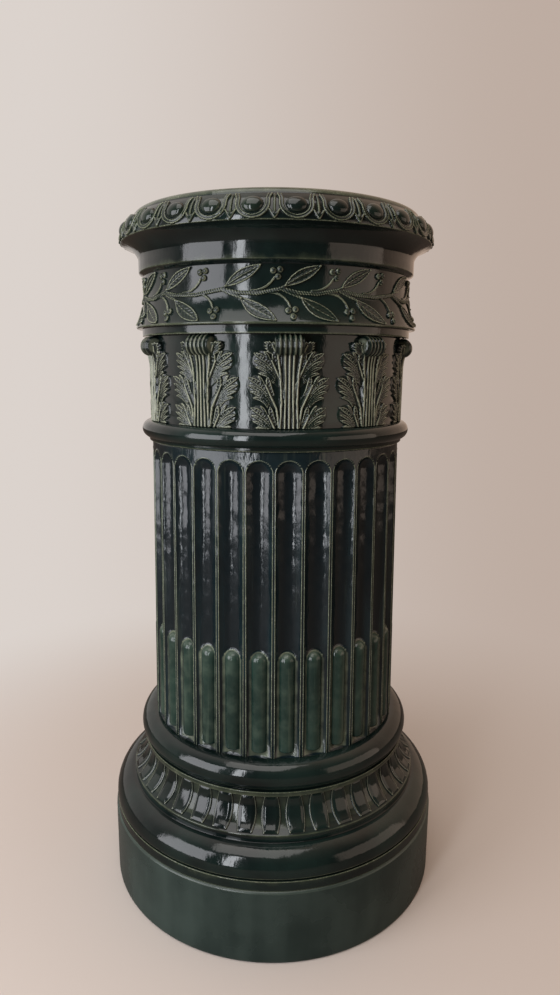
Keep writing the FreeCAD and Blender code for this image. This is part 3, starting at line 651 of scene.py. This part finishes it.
# Each tier's tip and size; from that tip, its stem and each leaflet's root, tip,
# half width and bow; then the ribs. All are on the leaf's right half.
tier_tips = [(43, 24.5, 1), (46, 58, 1), (39.5, 85, 1), (27.5, 96.5, 0.45)]
stem_path = [(-35, -56), (-32, -35), (-25, -20), (-20, -9)]
leaflets = [
    (-28, -19, -22, 0, 4.3, 1),
    (-19, -12, -11.5, 1.5, 2.7, -1),
    (-25, -22, -1, -1, 4.8, -3),
    (-24, -27, -1, -9, 3.2, -3),
    (-23, -30, -2.5, -16, 3.0, -3),
    (-22, -33, -5.5, -23, 2.8, -3),
]
rib_paths = [
    [(0, -2), (0, 92)],
    [(4.8, -2), (4.3, 45), (4.8, 92)],
    [(10, -2), (8.6, 30), (9.8, 60), (13.5, 86)],
]
scroll_round, scroll_width, scroll_beads = 12, 34, 6
scroll_rows, scroll_sides = 61, 40
scroll_centre, scroll_ripple, scroll_proud = 738.6, 2.2, 4


# A height far below the ground, where a relief has nothing.
BELOW = -9.0


def finger(across, up, path, width, height, dip=0.0, pointed=False):
    """Height of a bar that follows a path: top (1 - (off / width) ^ 6), less a groove.

    Width and top go evenly from their first to their second value along the path, a pointed
    bar narrows by (1 - share ^ 5) ^ 0.7, and dip is how far its middle lies below its rims.
    """
    best = np.full(across.shape, BELOW)
    steps = len(path) - 1
    for i, ((x0, z0), (x1, z1)) in enumerate(zip(path[:-1], path[1:])):
        run, climb = x1 - x0, z1 - z0
        along = ((across - x0) * run + (up - z0) * climb) / (run**2 + climb**2)
        along = np.clip(along, 0, 1)
        off = np.hypot(across - x0 - along * run, up - z0 - along * climb)
        share = (i + along) / steps
        wide = width[0] + (width[1] - width[0]) * share
        if pointed:
            wide = wide * np.clip(1 - share**5, 0.1, 1) ** 0.7
        top = height[0] + (height[1] - height[0]) * share
        near = np.minimum(off / wide, 1.2)
        bar = top * (1 - near**6) - dip * np.clip(1 - (near / 0.7) ** 2, 0, 1)
        best = np.maximum(best, np.where(off < wide * 1.1, bar, BELOW))
    return best


def bowed(start, end, bow):
    """A path of five steps from start to end that bows to the right of its way by bow."""
    return [tuple(point) for point in arc(start, end, bow, 6)]


def acanthus(across, up):
    """The leaf's height: the highest of its ribs, webs, stems and pointed leaflets."""
    side = np.abs(across)
    height = finger(side, up, [(0, -2), (0, 92)], (11, 12.5), (2.0, 3.0))
    for x, z, size in tier_tips:
        web = [(11, z - 34 * size), (x - 9 * size, z - 9 * size)]
        height = np.maximum(height, finger(side, up, web, (5, 11 * size), (1, 1.2)))
        stem = [(x + dx * size, z + dz * size) for dx, dz in stem_path]
        height = np.maximum(height, finger(side, up, stem, (1.5, 1.1), (4.4, 4.0)))
        for root_x, root_z, tip_x, tip_z, wide, bow in leaflets:
            root = (x + root_x * size, z + root_z * size)
            path = bowed(root, (x + tip_x * size, z + tip_z * size), bow * size)
            wide *= size**0.5
            leaflet = finger(side, up, path, (0.4 * wide, wide), (2.6, 4.2), 0.4 * wide, True)
            height = np.maximum(height, leaflet)
    for rib in rib_paths:
        height = np.maximum(height, finger(side, up, rib, (1.3, 1.5), (4.8, 5.6)))
    return np.where(up < 0.3, BELOW, height)


def on_bell(across, up, height):
    """Places leaf points on the bell: the head leans out as the square of its rise."""
    lean = 7 * np.clip((up - 66) / 30, 0, 1) ** 2 * np.clip(1.6 - np.abs(across) / 25, 0, 1)
    radius = bell_radius + height + np.where(height > -1, lean, 0)
    angle = across / bell_radius
    return np.stack([radius * np.sin(angle), -radius * np.cos(angle), bell_foot + up], -1)


def scroll():
    """The rolled head: radius along its width = round less a ripple, closed at both ends."""
    along = np.linspace(-scroll_width / 2, scroll_width / 2, scroll_rows)
    ripple = np.abs(np.cos(math.pi * along * scroll_beads / scroll_width)) ** 0.7
    closing = np.clip(1 - (np.abs(along) / (scroll_width / 2)) ** 14, 0, 1)
    size = (scroll_round - scroll_ripple + scroll_ripple * ripple) * np.sqrt(closing)
    around = np.linspace(0, 2 * math.pi, scroll_sides, endpoint=False)
    out = bell_radius + scroll_proud + size[:, None] * np.cos(around)
    level = scroll_centre + size[:, None] * np.sin(around)
    grid = np.stack([along[:, None] * np.ones(scroll_sides), -out, level], -1) * MM
    # The scroll's ribs are painted paler, partly thin glaze and partly a painted highlight; the
    # gaps between them dark where glaze pools.
    return skin(grid, (ripple[:, None] * 1.3 - 0.7) * np.ones(scroll_sides), closed=False)


across, up = np.meshgrid(np.arange(-50.4, 50.5, 0.7), np.arange(-0.8, 101, 0.7))
blade = plate(across, up, acanthus(across, up), on_bell, full=0.55)
leaf = joined([blade, scroll()])
leaf_glaze = bottle_glaze(
    "leaf_glaze", (0.004, 0.009, 0.008, 1), (0.012, 0.024, 0.018, 1), (0.27, 0.285, 0.20, 1),
    wear=0.9, broken=0.05, dull=0.11,
)
for i in range(leaf_count):
    node = f"acanthus_leaf_{i + 1:02d}"
    placed = turned(leaf, leaf_turn + 360 * i / leaf_count)
    make(f"leaf_{i + 1:02d}", placed, [node], "jardiniere", leaf_glaze)

# ---------------------------------------------------------------------------
# Laurel sprays: five pressed sprays round the frieze, each of three shoots on one
# notched stem; a shoot has two veined leaves and two stalks with three berries.
# ---------------------------------------------------------------------------

spray_count, spray_turn = 5, -19.7
shoot_turns = [0, 21.9, 43.6, 72]
joint_level = 34
berry_round = 3.6
frieze_ground = np.concatenate([arc((181.5, frieze_foot), (171, 806), -2.5, 40), [(171, 824)]])
frieze_radius = 171


def on_frieze(across, up, height):
    """Places spray points on the flared frieze: radius = its ground at that level + height."""
    level = frieze_foot + up
    radius = np.interp(level, frieze_ground[:, 1], frieze_ground[:, 0]) + height
    angle = across / frieze_radius
    return np.stack([radius * np.sin(angle), -radius * np.cos(angle), level], -1)


def laurel_leaf(across, up, start, end, half, bow):
    """A pointed leaf: width half sin(pi t) ^ 0.8 along a bowed line, rim, midrib and veins."""
    run, climb = end[0] - start[0], end[1] - start[1]
    length = math.hypot(run, climb)
    along = ((across - start[0]) * run + (up - start[1]) * climb) / length**2
    off = ((up - start[1]) * run - (across - start[0]) * climb) / length
    share = np.clip(along, 0, 1)
    off = off - bow * np.sin(math.pi * share) * np.cos(math.pi * share * 0.6)
    wide = half * np.sin(math.pi * share) ** 0.8
    rim = np.exp(-(((wide - np.abs(off) - 0.8) / 0.75) ** 2))
    midrib = np.exp(-((off / 0.8) ** 2))
    veins = np.clip(np.cos((along * length - 1.3 * np.abs(off)) * 2 * math.pi / 5.5), 0, 1) ** 2
    height = 0.9 + 1.4 * rim + 1.3 * midrib + 0.5 * veins
    inside = (wide > np.abs(off)) & (along > 0) & (along < 1)
    return np.where(inside, height, BELOW)


def berries(across, up, x, z):
    """Three balls side by side: height = sqrt(round ^ 2 - off ^ 2)."""
    height = np.full(across.shape, BELOW)
    for dx, dz in ((-3.9, 1.9), (3.5, 3.1), (1.3, -4.4)):
        off = np.hypot(across - x - dx, up - z - dz)
        ball = np.sqrt(np.maximum(berry_round**2 - off**2, 0)) + 0.3
        height = np.maximum(height, np.where(off < berry_round, ball, BELOW))
    return height


def shoot(across, up, start, reach):
    """One shoot from its joint to the next: notched stem, two leaves, two berry stalks."""
    x, z = across - start, up - joint_level
    stem = [(0, 0), (reach * 0.28, -4), (reach * 0.6, -5), (reach, 0)]
    notches = 0.45 * np.cos(2 * math.pi * (x + 0.6 * z) / 2.9)
    parts = [
        finger(x, z, stem, (2.3, 2.3), (2.5, 2.5)) + notches,
        laurel_leaf(x, z, (3, 2.5), (44, 25.5), 6.6, 1.2),
        finger(x, z, [(-3, -1), (4, 3)], (1.8, 1.4), (2.4, 2.2)),
        finger(x, z, [(-1, 0), (10, -5), (23, -10)], (2.0, 1.5), (2.4, 2.2)) + notches * 0.6,
        laurel_leaf(x, z, (21, -9), (61, -34.5), 7.6, -2.4),
        finger(x, z, bowed((33, -2), (58, 12), 4), (1.5, 1.3), (2.0, 2.2)),
        finger(x, z, bowed((52, -4), (75, -20), -5), (1.5, 1.3), (2.0, 2.2)),
        berries(x, z, 60.5, 17),
        berries(x, z, 76.5, -25),
    ]
    return np.maximum.reduce(parts)


spray_length = math.radians(72) * frieze_radius
across, up = np.meshgrid(np.arange(-4, spray_length + 20, 0.75), np.arange(0.2, 61, 0.75))
starts = [math.radians(degrees) * frieze_radius for degrees in shoot_turns]
vine = np.full(across.shape, BELOW)
for start, following in zip(starts[:-1], starts[1:]):
    vine = np.maximum(vine, shoot(across, up, start, following - start))
spray = plate(across, up, vine, on_frieze, full=0.7)
spray_glaze = bottle_glaze(
    "spray_glaze", (0.005, 0.011, 0.009, 1), (0.015, 0.027, 0.020, 1), (0.22, 0.24, 0.155, 1),
    wear=0.9, broken=0.05, dull=0.12,
)
for i in range(spray_count):
    placed = turned(spray, spray_turn + 360 * i / spray_count)
    name, node = f"spray_{i + 1}", f"laurel_spray_{i + 1}"
    make(name, placed, [node], "jardiniere", spray_glaze)

# ---------------------------------------------------------------------------
# Egg and dart: 27 round eggs, each in a collar with a double rim, and an arrow
# between every two collars, pressed onto the slope of the ovolo below the lip.
# ---------------------------------------------------------------------------

egg_count, egg_turn = 27, 6.4
egg_half, egg_tall, egg_relief = 11.2, 9.2, 4.6
egg_level = 16.4
collar_half, collar_tall = 18.2, 15.6
ovolo, ovolo_length = on_curve(arc((199, 864), (184, 893), 4, 60))
across, up = np.meshgrid(np.arange(-23, 23.1, 0.85), np.linspace(0.2, ovolo_length - 0.2, 40))

egg_off = np.hypot(across / egg_half, (up - egg_level) / egg_tall)
dome = np.where(egg_off < 1, egg_relief * np.sqrt(np.maximum(1 - egg_off**2, 0)), -1)
flare = 1 + 0.12 * np.clip((up - 20) / 8, 0, 1) ** 2
collar_off = np.hypot(across / collar_half / flare, np.minimum(up - egg_level, 0) / collar_tall)
inner_rim = np.exp(-(((collar_off - 0.78) * collar_half / 0.9) ** 2))
outer_rim = np.exp(-(((collar_off - 0.95) * collar_half / 0.8) ** 2))
in_collar = (collar_off > 0.72) & (collar_off < 1.0) & (up < ovolo_length - 4)
collar = np.where(in_collar, 1.1 + 0.9 * inner_rim + 1.6 * outer_rim, -1)
arrow = np.maximum.reduce(
    [
        finger(across, up, [(0, 28), (0, 3)], (1.7, 1.3), (1.6, 2.4)),
        finger(across, up, [(-5.5, 10), (0, 2.2)], (1.0, 1.9), (1.6, 2.6)),
        finger(across, up, [(5.5, 10), (0, 2.2)], (1.0, 1.9), (1.6, 2.6)),
    ]
)
rim_glaze = bottle_glaze(
    "rim_glaze", (0.006, 0.012, 0.010, 1), (0.018, 0.030, 0.020, 1), (0.14, 0.16, 0.095, 1),
    wear=0.6, broken=0.05,
)
between = egg_turn + 180 / egg_count
for name, node, height, first in (
    ("eggs", "rim_eggs", dome, egg_turn),
    ("egg_collars", "rim_collars", collar, egg_turn),
    ("darts", "rim_darts", arrow, between),
):
    ring = course(plate(across, up, height, ovolo, full=0.8), egg_count, first)
    make(name, ring, [node], "jardiniere", rim_glaze)

# ---------------------------------------------------------------------------
# Stage: a plain pale floor that fades into a pale background, a narrow and a wide
# panel of light on the left, a warm panel on the right, one overhead, and the camera.
# ---------------------------------------------------------------------------

WALL_LEFT, WALL_RIGHT = (0.71, 0.65, 0.61, 1), (0.51, 0.415, 0.36, 1)


def wall_colour(recipe):
    """The background's colour, which goes from cool on the left to warm on the right."""
    window = recipe.add("ShaderNodeTexCoord", output="Window")
    across = recipe.add("ShaderNodeSeparateXYZ", None, {0: window}, output="X")
    return recipe.blend(across.fade(0.0, 1.0), WALL_LEFT, WALL_RIGHT)


floor_mesh = bpy.data.meshes.new("floor")
floor_half = 9.0
corners = [(-floor_half, -floor_half), (floor_half, -floor_half)]
corners += [(floor_half, floor_half), (-floor_half, floor_half)]
floor_mesh.from_pydata([(x, y, 0) for x, y in corners], [], [(0, 1, 2, 3)])
floor = bpy.data.objects.new("floor", floor_mesh)
bpy.context.scene.collection.objects.link(floor)

# Only the camera sees the floor's pale colour: every other ray meets a darker one,
# which keeps the glaze dark.
paint = Recipe(bpy.data.materials.new("floor_paint"))
place = paint.add("ShaderNodeTexCoord", output="Object")
far = paint.add("ShaderNodeVectorMath", {"operation": "LENGTH"}, {0: place}, output="Value")
seen = paint.add("ShaderNodeLightPath", output="Is Camera Ray")
cloth = paint.blend(seen, (0.20, 0.17, 0.15, 1), (0.66, 0.59, 0.54, 1))
matt = paint.add("ShaderNodeBsdfDiffuse", None, {"Color": cloth})
haze = paint.add("ShaderNodeEmission", None, {"Color": wall_colour(paint)})
sockets = {0: far.fade(0.30, 1.10) * seen, 1: matt, 2: haze}
ground = paint.add("ShaderNodeMixShader", None, sockets)
paint.add("ShaderNodeOutputMaterial", None, {"Surface": ground})
floor_mesh.materials.append(paint.holder)

# The camera sees the plain wall. For every other ray the room behind and beside the
# object is pale, and the room behind the camera is dark.
room = Recipe(bpy.data.worlds.new("room"))
bpy.context.scene.world = room.holder
place = room.add("ShaderNodeTexCoord", output="Generated")
across = room.add("ShaderNodeSeparateXYZ", None, {0: place}, output="X")
depth = room.add("ShaderNodeSeparateXYZ", None, {0: place}, output="Y")
height = room.add("ShaderNodeSeparateXYZ", None, {0: place}, output="Z")
light = depth.fade(-0.45, 0.35, 0.07, 0.95) + height.fade(0.4, 1.0) * 0.3
sides = room.blend(across.fade(-0.5, 0.5), WALL_LEFT, (0.62, 0.44, 0.33, 1))
around = room.add("ShaderNodeBackground", None, {"Color": sides, "Strength": light})
behind = room.add("ShaderNodeBackground", None, {"Color": wall_colour(room)})
seen = room.add("ShaderNodeLightPath", output="Is Camera Ray")
surface = room.add("ShaderNodeMixShader", None, {0: seen, 1: around, 2: behind})
room.add("ShaderNodeOutputWorld", None, {"Surface": surface})


def panel_light(name, bearing, distance, height, width, tall, watts, colour):
    """A soft panel at a bearing from the front, to the right, that faces the object."""
    data = bpy.data.lights.new(name, "AREA")
    data.shape = "RECTANGLE"
    data.size, data.size_y = width, tall
    data.energy, data.color = watts, colour
    lamp = bpy.data.objects.new(name, data)
    turn = math.radians(bearing)
    lamp.location = (distance * math.sin(turn), -distance * math.cos(turn), height)
    lamp.rotation_euler = (math.radians(90), 0, turn)
    lamp.visible_camera = False
    bpy.context.scene.collection.objects.link(lamp)
    return lamp


panel_light("window", -26, 1.5, 0.85, 0.20, 1.35, 8, (0.93, 0.96, 1.0))
panel_light("pane", -57, 2.0, 0.9, 1.2, 1.6, 26, (0.95, 0.95, 1.0))
panel_light("warm_side", 66, 2.6, 0.9, 2.4, 1.6, 11, (1.0, 0.80, 0.66))
overhead = panel_light("overhead", -20, 0.9, 2.4, 1.6, 1.6, 17, (1.0, 0.97, 0.94))
overhead.rotation_euler = (math.radians(22), 0, math.radians(-20))

look_down, camera_roll = 10.98, -0.397
camera_data = bpy.data.cameras.new("camera")
camera_data.sensor_width = 36
camera_data.lens = 25.02
camera = bpy.data.objects.new("camera", camera_data)
camera.location = (0.0057, -0.9497, 0.7187)
camera.rotation_mode = "XYZ"
camera.rotation_euler = (math.radians(90 - look_down), math.radians(camera_roll), 0)
bpy.context.scene.collection.objects.link(camera)
bpy.context.scene.camera = camera
bpy.context.scene.view_settings.view_transform = "Standard"
